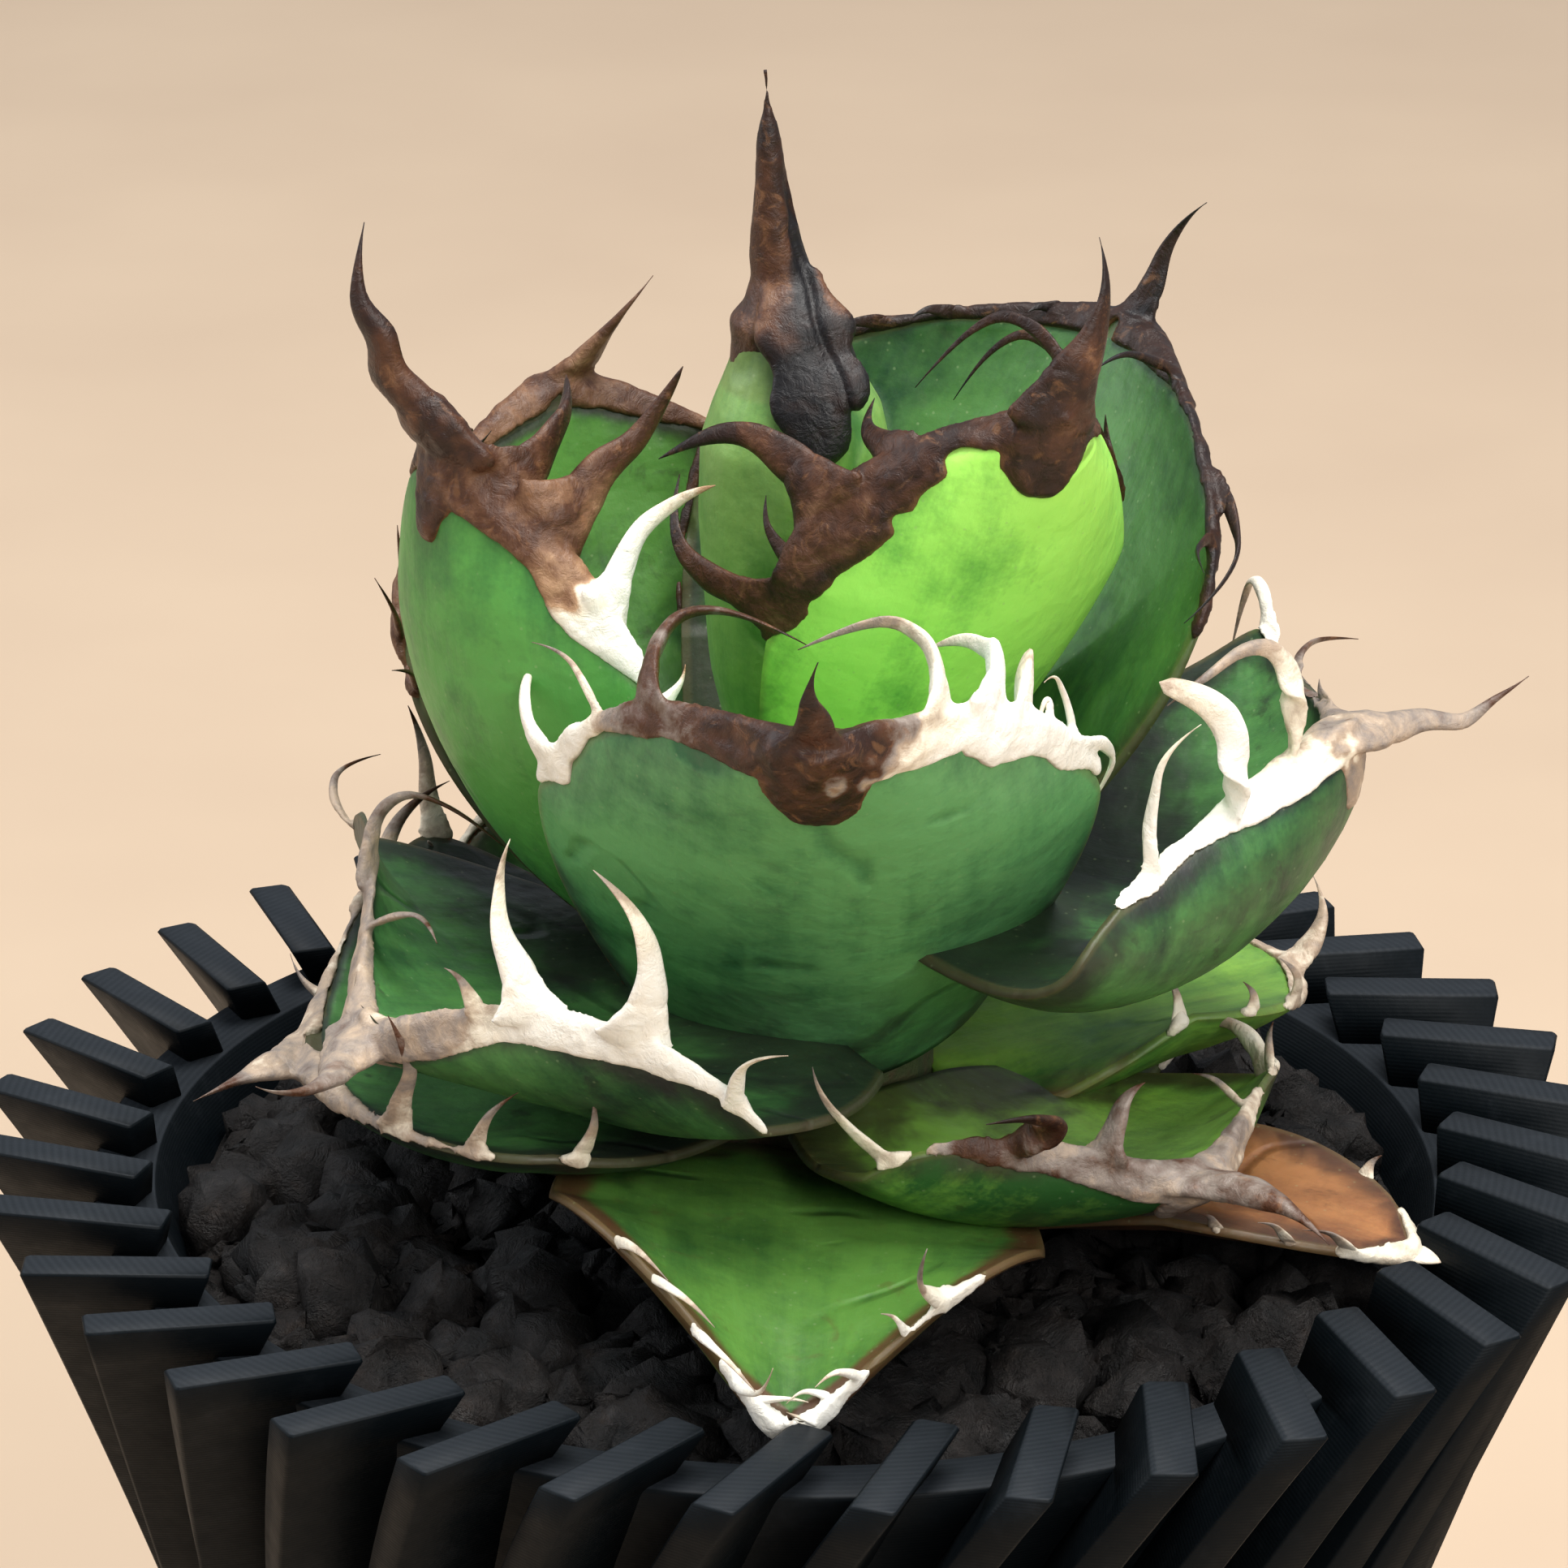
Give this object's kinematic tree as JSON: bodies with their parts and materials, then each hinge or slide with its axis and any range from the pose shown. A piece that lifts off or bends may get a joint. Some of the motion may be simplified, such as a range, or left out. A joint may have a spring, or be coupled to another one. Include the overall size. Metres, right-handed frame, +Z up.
{
  "type": "potted agave plant",
  "caption": "Compact rosette of thick cupped leaves with horny toothed margins and long spines, in gravel, in a flared pot with swirled fins.",
  "frame": {"origin": "centre of the pot's foot, on the surface that it stands on", "axes": "+Z up along the pot's axis; -Y towards the front that the picture shows"},
  "size_m": [0.1132, 0.1132, 0.165],
  "materials": {
    "pot": "satin black plastic with fine layer lines and light worn edges on the fin tops",
    "gravel": "dry black and dark brown porous granules",
    "leaf_flesh": "smooth waxy leaf, bright green to dark blue-green",
    "dry_leaf": "dry orange-brown leaf",
    "brown_horn": "dark brown to black horny margin, teeth and spine",
    "white_horn": "weathered cream-white to grey horny margin, teeth and spine",
    "stem": "rough corky stem between the leaf bases"
  },
  "bodies": {
    "root": {"pot": "pot", "gravel": "gravel", "stem": "stem", "bud_blade": "leaf_flesh", "bud_horn": "brown_horn", "leaf_01_blade": "leaf_flesh", "leaf_01_horn": "brown_horn", "leaf_02_blade": "leaf_flesh", "leaf_02_horn": "brown_horn", "leaf_03_blade": "leaf_flesh", "leaf_03_horn": "brown_horn", "leaf_04_blade": "leaf_flesh", "leaf_04_horn": "white_horn", "leaf_05_blade": "leaf_flesh", "leaf_05_horn": "brown_horn", "leaf_06_blade": "leaf_flesh", "leaf_06_horn": "white_horn", "leaf_07_blade": "leaf_flesh", "leaf_07_horn": "white_horn", "leaf_08_blade": "leaf_flesh", "leaf_08_horn": "white_horn", "leaf_09_blade": "leaf_flesh", "leaf_09_horn": "white_horn", "leaf_10_blade": "leaf_flesh", "leaf_10_horn": "white_horn", "leaf_11_blade": "leaf_flesh", "leaf_11_horn": "white_horn", "leaf_12_blade": "leaf_flesh", "leaf_12_horn": "white_horn", "leaf_13_blade": "leaf_flesh", "leaf_13_horn": "white_horn", "leaf_14_blade": "dry_leaf", "leaf_14_horn": "white_horn", "leaf_15_blade": "leaf_flesh", "leaf_15_horn": "white_horn", "leaf_16_blade": "leaf_flesh", "leaf_16_horn": "white_horn"}
  },
  "joints": []
}
